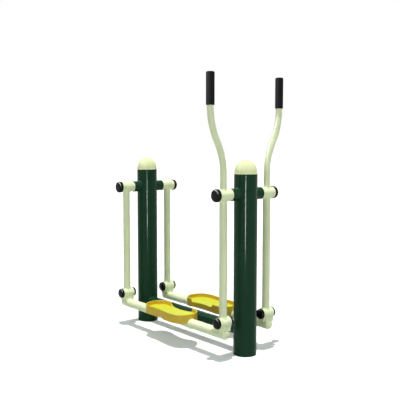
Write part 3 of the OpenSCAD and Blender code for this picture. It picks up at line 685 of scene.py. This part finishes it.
# Pedal beams
# A 48 mm tube under each pair of arms, closed at each end by a pressed dome, welded on and
# dressed flush. It is cream powder coat like the arms, and brightest along its top.
PEDAL_BEAM_WALL = 0.003
END_RIM = 0.002
END_STEPS = 12
for side in SIDES:
    low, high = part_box(f"{side}_beam_tube")
    beam_r = (high.z - low.z) / 2
    beam_z = low.z + beam_r
    beam_y = low.y + beam_r
    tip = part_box(f"{side}_beam_end_discs")[1].x
    crown = tip - high.x - END_RIM
    dome = quarter(beam_r, crown, high.x + END_RIM, END_STEPS)
    bm = bmesh.new()
    turned(bm, [(r, -x, 0) for r, x, _ in dome[::-1]] + dome
           + [(0, high.x, 0), (beam_r - PEDAL_BEAM_WALL, high.x, 0),
              (beam_r - PEDAL_BEAM_WALL, low.x, 0), (0, low.x, 0)],
           placed((0, beam_y, beam_z), up=(1, 0, 0), across=(0, 1, 0)))
    piece(f"{side}_beam", bm, cream_coat, f"{side}_pedal_beam", "arm_paint",
          f"{side}_beam_tube", f"{side}_beam_end_discs")


# Yokes
# Two thick cheeks on a saddle, cut from plate, dressed smooth and welded over the pedal beam.
# The lower hub hangs between them on a through bolt.
YOKE_ROUND = 0.0008
DRESSED_EDGE = math.radians(40)
DRESSED_STEPS = 2
FLAT = math.radians(0.5)
SLIVER = 0.00005


def dressed(node_name, rounding, least=DRESSED_EDGE, steps=DRESSED_STEPS, above=-math.inf):
    """A merged copy of a node, whose sharp edges above a height are rounded over.

    Slivers are merged first, because the shortest edge would hold every rounding back.
    """
    bm = bmesh.new()
    bm.from_mesh(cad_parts[node_name].data)
    bmesh.ops.remove_doubles(bm, verts=bm.verts, dist=SLIVER)
    bmesh.ops.dissolve_degenerate(bm, dist=SLIVER, edges=bm.edges)
    bmesh.ops.dissolve_limit(bm, angle_limit=FLAT, verts=bm.verts, edges=bm.edges)
    edges = [e for e in bm.edges if len(e.link_faces) == 2 and e.calc_face_angle() > least
             and all(v.co.z > above for v in e.verts)]
    bmesh.ops.bevel(bm, geom=edges, affect="EDGES", offset=rounding, segments=steps,
                    profile=0.5, material=-1, clamp_overlap=False)
    return bm


for side in SIDES:
    for end in ENDS:
        name = f"{side}_{end}_yoke"
        piece(f"{name}_plates", dressed(name, YOKE_ROUND), cream_coat, f"{side}_pedal_beam",
              "arm_paint", name)


# Pivot bolts and caps
# A through bolt and nut with inner rings and a spacer hold each lower hub, zinc plated.
# Small domed caps, of the same black ABS as those on the upper hubs, cover the ends.
for side in SIDES:
    finish_nodes(zinc, f"{side}_pivot_bolts", f"{side}_pivot_nuts", f"{side}_pivot_inner_rings",
                 f"{side}_pivot_spacers")
    low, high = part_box(f"{side}_pivot_caps")
    yoke_low, yoke_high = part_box(f"{side}_front_yoke")
    radius = (high.z - low.z) / 2
    bm = bmesh.new()
    for way in ENDS.values():
        black_cap(bm, radius, high.y - yoke_high.y,
                  placed((way * post_x, yoke_high.y, pivot_z), up=(0, 1, 0)))
        black_cap(bm, radius, yoke_low.y - low.y,
                  placed((way * post_x, yoke_low.y, pivot_z), up=(0, -1, 0)))
    piece(f"{side}_pivot_cap_domes", bm, black_abs, f"{side}_pedal_beam", "cap_plastic",
          f"{side}_pivot_caps")


# Pedals
# Foot trays moulded in yellow polyethylene: a flat floor, a thick rim open beside the instep, and
# a deep skirt over ribs and bosses. The faces that look up are painted a lighter lemon, as painted
# top light. The wall inside the rim is painted a deeper orange, as painted light bounced between
# walls.
# The first colour is the lighter lemon painted on faces that look up, as painted top light.
PEDAL_TOP_LIT = "#cbd230"
PEDAL_AMBER = "#d6b83f"
# This orange is painted on the wall inside the rim, as painted light bounced between the yellow
# walls.
PEDAL_BOUNCE_ORANGE = "#dcb03a"
PEDAL_ROUGHNESS = 0.38
PEDAL_GLOSS = 0.08
PEDAL_CLOUD = 0.04
PEDAL_CLOUD_SHARE = 0.03
PEDAL_GRAIN = 0.0011
PEDAL_GRAIN_DEPTH = 0.00003
RIM_DEPTH = 0.021
RIM_ROUND = 0.0022
RIM_EDGE = math.radians(50)
RIM_LEVEL = 0.00001
UPRIGHT_FACE = 0.3
TOP_LIGHT_FROM = 0.15
TOP_LIGHT_OVER = 0.75

# Moulded polyethylene, half glossy: broad soft lights, and a grain drawn coarse enough to show.
pedal_plastic, tree, surface = shader("yellow_moulded_pedal", PEDAL_TOP_LIT,
                                      Roughness=PEDAL_ROUGHNESS, Specular_IOR_Level=PEDAL_GLOSS)
# Painted light: faces that look up blend towards the lighter lemon, a painted top light.
top_light_mask = node(tree, "Attribute", attribute_name="painted_top_light").outputs["Fac"]
# Painted bounce light: the wall inside the rim takes the deeper orange.
rim_bounce_mask = node(tree, "Attribute", attribute_name="painted_rim_bounce").outputs["Fac"]
walls = node(tree, "Mix", {0: rim_bounce_mask, 6: linear(PEDAL_AMBER), 7: linear(PEDAL_BOUNCE_ORANGE)},
             data_type="RGBA").outputs[2]
top_lit_colour = node(tree, "Mix", {0: top_light_mask, 6: walls, 7: linear(PEDAL_TOP_LIT)}, data_type="RGBA").outputs[2]
clouded(tree, surface, top_lit_colour, PEDAL_CLOUD, PEDAL_CLOUD_SHARE)
rippled(tree, surface, PEDAL_GRAIN, PEDAL_GRAIN_DEPTH)
for side in SIDES:
    low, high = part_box(f"{side}_pedal")
    bm = dressed(f"{side}_pedal", RIM_ROUND, RIM_EDGE, ROUND_STEPS, high.z - RIM_LEVEL)
    tray = piece(f"{side}_pedal_tray", bm, pedal_plastic, f"{side}_pedal_beam", "pedal_plastic",
                 f"{side}_pedal")
    spine_x = (high.x - low.x) / 4
    spine_y = (low.y + high.y) / 2
    # Each face takes more painted top light the further it looks up.
    top_light_layer = tray.data.attributes.new("painted_top_light", "FLOAT", "FACE")
    # The upright faces inside the rim are marked for the painted bounce light.
    rim_bounce_layer = tray.data.attributes.new("painted_rim_bounce", "FLOAT", "FACE")
    for top_lit, bounce_share, face in zip(top_light_layer.data, rim_bounce_layer.data, tray.data.polygons):
        place, facing = face.center, face.normal
        top_lit.value = min(1, max(0, (facing.z - TOP_LIGHT_FROM) / TOP_LIGHT_OVER))
        spine = Vector((min(spine_x, max(-spine_x, place.x)), spine_y, place.z))
        inside = (spine - place).dot(facing) > 0
        upright = abs(facing.z) < UPRIGHT_FACE
        bounce_share.value = 1.0 if inside and upright and place.z > high.z - RIM_DEPTH else 0.0


# Pedal brackets and bolts
# Plates welded to the sides of the beam, under the bosses, and zinc plated hexagon bolts
# driven up through them.
PLATE_ROUND = 0.0005
BOLT_ROUND = 0.0004
for side in SIDES:
    piece(f"{side}_pedal_plates", dressed(f"{side}_pedal_brackets", PLATE_ROUND), cream_coat,
          f"{side}_pedal_beam", "arm_paint", f"{side}_pedal_brackets")
    piece(f"{side}_pedal_screws", dressed(f"{side}_pedal_bolts", BOLT_ROUND), zinc,
          f"{side}_pedal_beam", "steel", f"{side}_pedal_bolts")
